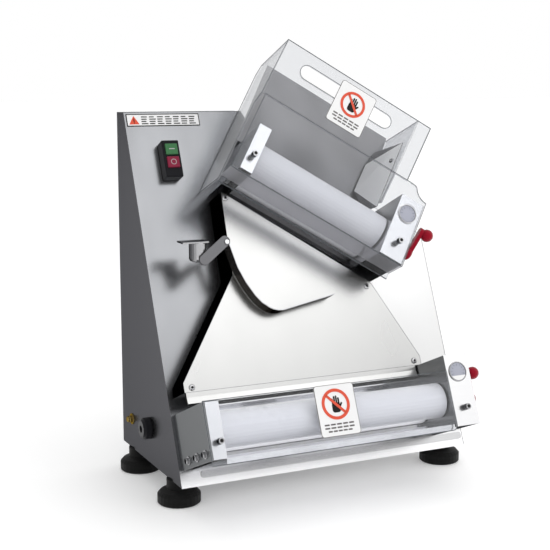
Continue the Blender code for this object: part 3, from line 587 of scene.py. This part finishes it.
def cover_screw(name, place):
    """A knurled thumb screw with a recess in its end, with a black disc over it as painted shade."""
    bm = bmesh.new()
    steps = 48
    loops = []
    for radius, y in ((3.2, 0), (3.2, -2), (4.9, -2), (4.9, -10.5), (4.2, -11.2), (2.6, -11.2), (2.3, -9.5)):
        ring = []
        for i in range(steps):
            angle = 2 * math.pi * i / steps
            reach = radius - (0.25 if i % 2 and radius == 4.9 else 0)
            ring.append(bm.verts.new((reach * math.cos(angle), y, reach * math.sin(angle))))
        loops.append(ring)
    for a, b in zip(loops, loops[1:]):
        for i in range(steps):
            j = (i + 1) % steps
            bm.faces.new((a[i], a[j], b[j], b[i]))
    bm.faces.new(loops[0])
    bm.faces.new(loops[-1])
    piece(name, bm, place, "weight")
    bm = bmesh.new()
    lathe(bm, [(2.9, -11.25), (2.9, -11.4), (2.4, -11.6)], 24)
    piece(name + "_end", bm, place, "black_ink_and_shade")


def hex_bolt(name, place, radius, height):
    """A hexagon head on a washer, towards -y."""
    bm = bmesh.new()
    lathe(bm, [(radius * 1.35, 0), (radius * 1.35, -1.2)], 28)
    piece(name + "_washer", bm, place, "bright", bevel=0.2)
    bm = bmesh.new()
    lathe(bm, [(radius, -1.2), (radius, -height), (radius * 0.85, -height - 0.8)], 6)
    piece(name, bm, place, "weight", smooth=False, bevel=0.2)


def edge_line(name, points, frame_matrix, radius=0.55):
    """A thin dark bead of painted shade along a cut edge, on the clear sheets and on the steel."""
    curve = bpy.data.curves.new(name, "CURVE")
    curve.dimensions = "3D"
    curve.bevel_depth = radius * MM
    curve.bevel_resolution = 1
    curve.use_fill_caps = True
    spline = curve.splines.new("POLY")
    spline.points.add(len(points) - 1)
    for point, spot in zip(spline.points, points):
        point.co = (*(frame_matrix @ (Vector(spot) * MM)), 1)
    curve.materials.append(LOOKS["edge"].material)
    obj = bpy.data.objects.new(name, curve)
    bpy.context.scene.collection.objects.link(obj)
    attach(obj, HOUSING)


def arc_points(centre, radius, start, end, steps):
    """Points on an arc in (x, z), with its angles in degrees."""
    angles = [math.radians(start + (end - start) * i / steps) for i in range(steps + 1)]
    return [(centre[0] + radius * math.cos(a), centre[1] + radius * math.sin(a)) for a in angles]


def hood_front(z):
    """Depth of the hood's leaning front wall at a height."""
    return HOOD_LEAN * (HOOD_TOP - z) / (HOOD_TOP - HOOD_LOW)


def hood_edges():
    """The cut edges of the clear hood."""
    left, right, wall, top, low = -17, 273, 247, HOOD_TOP - 0.5, 149
    edge_line("hood_front_left_edge", [(left, 0, top), (left, HOOD_LEAN, low)], UPPER)
    edge_line("hood_front_top_edge", [(left, 0, top), (right, 0, top)], UPPER, 0.7)
    edge_line("hood_front_right_edge", [(right, 0, top), (right, HOOD_LEAN, low)], UPPER, 0.8)
    back = [(left, 1, top), (left, 127, 265.5), (left, 138.5, 250), (left, 138.5, -5)]
    edge_line("hood_left_back_edge", back, UPPER)
    under = [(left, 138.5, -5), (left, 37.5, -16), (left, 37.5, 139), (left, 15, low)]
    edge_line("hood_left_low_edge", under, UPPER)
    edge_line("hood_right_back_edge", [(wall, 1, top), (wall, 127, 265.5), (wall, 112.5, 120)], UPPER)
    edge_line("hood_right_low_edge", [(wall, 112.5, 120), (wall, 25, 92.5), (wall, 14, 150)], UPPER)


def upper_cover_edges():
    """The cut edges of the clear cover in front of the upper rollers."""
    left, right, front, top, floor_z, lip_y, lip_z = -13.7, 312.8, -3.2, 138.6, -8.3, 44, -17.8
    outline = [(left, front, top), (275, front, top), (284, front, 137.6)]
    outline += [(x, front, z) for x, z in arc_points((313, 145), 27, 200, 270, 6)] + [(right, front, -8)]
    edge_line("upper_cover_top_edge", outline, UPPER, 0.6)
    edge_line("upper_cover_left_edge", [(left, front, top), (left, front, -8)], UPPER)
    edge_line("upper_cover_floor_edge", [(left, front, floor_z), (right, front, floor_z)], UPPER, 0.9)
    edge_line("upper_cover_lip_edge", [(left, lip_y, lip_z), (right, lip_y, lip_z)], UPPER, 0.8)


def lower_cover_edge():
    """The outline of the clear cover in front of the lower rollers, with its one round corner."""
    left, right, front, top, corner = -4.8, 420.7, -3.4, 86.8, 8.9
    low = [(x, front, z) for x, z in arc_points((right + 0.3 - 9.3, 0), corner, 0, -90, 6)]
    outline = [(left, front, top), (right, front, top)] + low + [(left, front, -corner), (left, front, top)]
    edge_line("lower_cover_edge", outline, LOWER, 0.65)


def steel_edges():
    """Thin shadow lines along the cut edges of the front panel and the chute."""
    right, shoulder, top = [(z - FOOT_HEIGHT) / math.cos(SLOPE) for z in (RIGHT_TOP_Z, SHOULDER_Z, TOP_Z)]
    side_x = WIDTH - 0.4
    side = [(side_x, 0, 1), (side_x, 0, right), (SHOULDER_X, 0, shoulder), (TOP_FLAT, 0, top)]
    edge_line("panel_right_edge", side, PANEL, 0.4)
    edge_line("panel_top_edge", [(TOP_FLAT, 0, top), (0.5, 0, top)], PANEL, 0.4)
    edge_line("chute_edge", [(x, CHUTE_FACE, z) for x, z in CHUTE_OUTLINE], PANEL, 0.3)


def hand_slot_edge():
    """The cut edge round the oval hand slot, drawn as a dark bead of painted shade."""
    points = [(x, hood_front(z) - 0.2, z) for x, z in rounded(24, 207, 205, 233, 12.9, 8)]
    edge_line("hand_slot_edge", points + points[:1], UPPER, 0.5)


def dial(name, frame_matrix, x):
    """Rim and plain graduations of a round scale window."""
    place = at(frame_matrix, x, 0, WINDOW_Z)
    bm = bmesh.new()
    ring_prism(bm, (0, 0), 16.4, 14.9, -1.6, 0.2)
    piece(name + "_rim", bm, place, "weight", bevel=0.3)
    bm = bmesh.new()
    for i in range(9):
        angle = math.radians(200 - i * 27.5)
        inner, outer = (10.2, 12.8) if i % 2 else (9.2, 12.8)
        along = Vector((math.cos(angle), math.sin(angle)))
        across = Vector((-along.y, along.x)) * 0.28
        start, end = along * inner, along * outer
        prism(bm, [start - across, end - across, end + across, start + across], -1.35, -1.1)
    piece(name + "_marks", bm, place, "edge", smooth=False)


def low_scale_plate():
    """The white plate that shows in the lowest part of the lower scale window."""
    bm = bmesh.new()
    prism(bm, arc_points((0, 0), 14.3, 207, 333, 14), -1.42, -1.15)
    piece("lower_scale_plate", bm, at(LOWER, LOWER_WINDOW_X, 0, WINDOW_Z), "paper", smooth=False)


def button_marks():
    """A bar on the green button and a ring on the red one."""
    bm = bmesh.new()
    prism(bm, rounded(-5, -0.8, 5, 0.8, 0.6, 2), -0.15, 0.2)
    piece("start_button_mark", bm, at(PANEL, SWITCH_X, BUTTON_FACE, START_Z), "mark", "start_push", False)
    bm = bmesh.new()
    ring_prism(bm, (0, 0), 4.8, 3.9, -0.15, 0.2, 32)
    piece("stop_button_mark", bm, at(PANEL, SWITCH_X, BUTTON_FACE, STOP_Z), "mark", "stop_push", False)


def side_hardware():
    """Earth washer and nut on the left side of the body, and the bolts of the lower left bracket."""
    left = Matrix.Rotation(-math.pi / 2, 4, "Z")
    spot = at(MACHINE, 0, -50, 92) @ left
    bm = bmesh.new()
    lathe(bm, [(9.5, 0), (9.5, -1.4), (9, -1.8)], 32)
    piece("earth_washer", bm, spot, "brass")
    bm = bmesh.new()
    lathe(bm, [(5.4, -5.8), (5.4, -8.5), (4.2, -9.6)], 6)
    piece("earth_nut", bm, spot, "brass", smooth=False, bevel=0.2)
    for i, y in enumerate((30, 66, 104)):
        hex_bolt(f"bracket_bolt_{i + 1}", at(LOWER, 0, y, 12) @ left, 5.2, 5)


def rear_and_guide_screws():
    """Screws that hold the rear cover, and the screw through the side guide."""
    back = Matrix.Rotation(math.pi, 4, "Z")
    for i, (x, z) in enumerate(BACK_SCREWS):
        dome_screw(f"rear_screw_{i + 1}", at(MACHINE, x, -1, z) @ back, 4, 2.2)
    inwards = Matrix.Rotation(math.radians(-74), 4, "Z")
    dome_screw("guide_screw", at(UPPER, 240.4, 31.8, 177.1) @ inwards, 5, 2.5, "weight")


def small_hardware():
    """Screws of the chute, thumb screws of both covers, and what shows in the scale windows."""
    for i, (x, z) in enumerate(CHUTE_SCREWS):
        dome_screw(f"chute_screw_{i + 1}", at(PANEL, x, CHUTE_FACE, z), 5, 2.6)
    cover_screw("upper_left_cover_screw", at(UPPER, 10.5, COVER_FACE, UPPER_SCREW_Z))
    cover_screw("upper_right_cover_screw", at(UPPER, 290.9, COVER_FACE, UPPER_SCREW_Z))
    cover_screw("lower_left_cover_screw", at(LOWER, 11.25, COVER_FACE, LOWER_SCREW_Z))
    cover_screw("lower_right_cover_screw", at(LOWER, 444.4, 0, LOWER_SCREW_Z))
    dial("upper_dial", UPPER, UPPER_WINDOW_X)
    dial("lower_dial", LOWER, LOWER_WINDOW_X)
    low_scale_plate()


def signs():
    """The plate on the hood, which leans with its front wall, and the plate on the lower cover."""
    middle = 206
    lean = math.atan2(HOOD_LEAN, HOOD_TOP - HOOD_LOW)
    place = at(UPPER, 0, hood_front(middle) - 0.4, middle) @ Matrix.Rotation(lean, 4, "X")
    place = place @ Matrix.Translation((0, 0, -middle * MM))
    sign("upper_sign", place, (97.5, 167.5), (164.2, 244.5), (130, 213.3), 22.5)
    sign("lower_sign", at(LOWER, 0, COVER_FACE - 0.3, 0), (178, 9), (245, 87), (210.4, 57.2), 24)


# ---------------------------------------------------------------- stage


def floor():
    """A wide white floor, slightly lit of its own, just below the feet."""
    bm = bmesh.new()
    bmesh.ops.create_grid(bm, x_segments=2, y_segments=2, size=40)
    mesh = bpy.data.meshes.new("floor")
    bm.to_mesh(mesh)
    bm.free()
    look = Look("floor_white", (0.93, 0.93, 0.93), 0.7)
    look.bump(look.noise(2, 2), 0.02)
    look.shader.inputs["Emission Color"].default_value = (1, 1, 1, 1)
    look.shader.inputs["Emission Strength"].default_value = 0.2
    mesh.materials.append(look.material)
    obj = bpy.data.objects.new("floor", mesh)
    obj.location.z = -0.0005
    bpy.context.scene.collection.objects.link(obj)


# The light around the machine: an even level, then for each zone its direction, the two values of how far
# a ray turns to it between which it comes in, and the level that it adds
WORLD_LEVEL = 0.55
WORLD_ZONES = (
    ((0.0, 0.0, 1.0), -0.2, 0.9, 0.35),
    ((0.43, -0.73, 0.54), 0.35, 1.0, 0.45),
    ((-0.6, 0.6, 0.1), 0.5, 1.0, -0.35),
)


def studio_world():
    """Pale light, brighter above and at the front right, darker at the back left. The camera sees white."""
    world = bpy.data.worlds.new("studio")
    bpy.context.scene.world = world
    world.use_nodes = True
    nodes, links = world.node_tree.nodes, world.node_tree.links
    background = nodes["Background"]
    background.inputs["Color"].default_value = (1, 1, 1, 1)
    coords = nodes.new("ShaderNodeTexCoord").outputs["Generated"]
    total = None
    for direction, low, high, level in WORLD_ZONES:
        dot = nodes.new("ShaderNodeVectorMath")
        dot.operation = "DOT_PRODUCT"
        dot.inputs[1].default_value = Vector(direction).normalized()
        links.new(coords, dot.inputs[0])
        step = nodes.new("ShaderNodeMapRange")
        step.interpolation_type = "SMOOTHSTEP"
        step.inputs["From Min"].default_value = low
        step.inputs["From Max"].default_value = high
        step.inputs["To Max"].default_value = level
        links.new(dot.outputs["Value"], step.inputs["Value"])
        add = nodes.new("ShaderNodeMath")
        add.inputs[0].default_value = WORLD_LEVEL
        if total:
            links.new(total, add.inputs[0])
        links.new(step.outputs["Result"], add.inputs[1])
        total = add.outputs["Value"]
    path = nodes.new("ShaderNodeLightPath")
    choose = nodes.new("ShaderNodeMix")
    links.new(path.outputs["Is Camera Ray"], choose.inputs[0])
    links.new(total, choose.inputs[2])
    choose.inputs[3].default_value = 1.0
    links.new(choose.outputs[0], background.inputs["Strength"])


def lamp(name, spot, target, size, power):
    """A rectangular area light that faces its target."""
    light = bpy.data.lights.new(name, "AREA")
    light.shape = "RECTANGLE"
    light.size, light.size_y = size
    light.energy = power
    obj = bpy.data.objects.new(name, light)
    obj.location = spot
    obj.rotation_euler = (Vector(target) - Vector(spot)).to_track_quat("-Z", "Y").to_euler()
    bpy.context.scene.collection.objects.link(obj)


def lights():
    """A key from the front right, a weak fill from the left and a soft top light."""
    lamp("key", (1.2, -2.3, 2.4), (0, 0, 0.3), (1.6, 1.2), 7)
    lamp("fill", (-2.4, -1.6, 1.6), (0, 0, 0.3), (1.2, 1.2), 2)
    lamp("top", (0.2, 0.4, 2.6), (0, 0, 0.3), (1.8, 1.8), 4)


def camera():
    """The photo's viewpoint, from the front left and a little above the machine."""
    data = bpy.data.cameras.new("camera")
    data.sensor_width = 36
    data.lens = 77.24
    data.clip_start = 0.05
    data.clip_end = 60
    obj = bpy.data.objects.new("camera", data)
    obj.location = (-0.89262, -1.71940, 0.66111)
    obj.rotation_euler = (math.radians(80.76), 0, math.radians(-25.71))
    bpy.context.scene.collection.objects.link(obj)
    bpy.context.scene.camera = obj


camera()
dress_nodes()
signs()
notice_strip()
small_hardware()
button_marks()
side_hardware()
rear_and_guide_screws()
hood_edges()
upper_cover_edges()
lower_cover_edge()
steel_edges()
hand_slot_edge()
floor()
studio_world()
lights()
bpy.context.scene.view_settings.view_transform = "Standard"
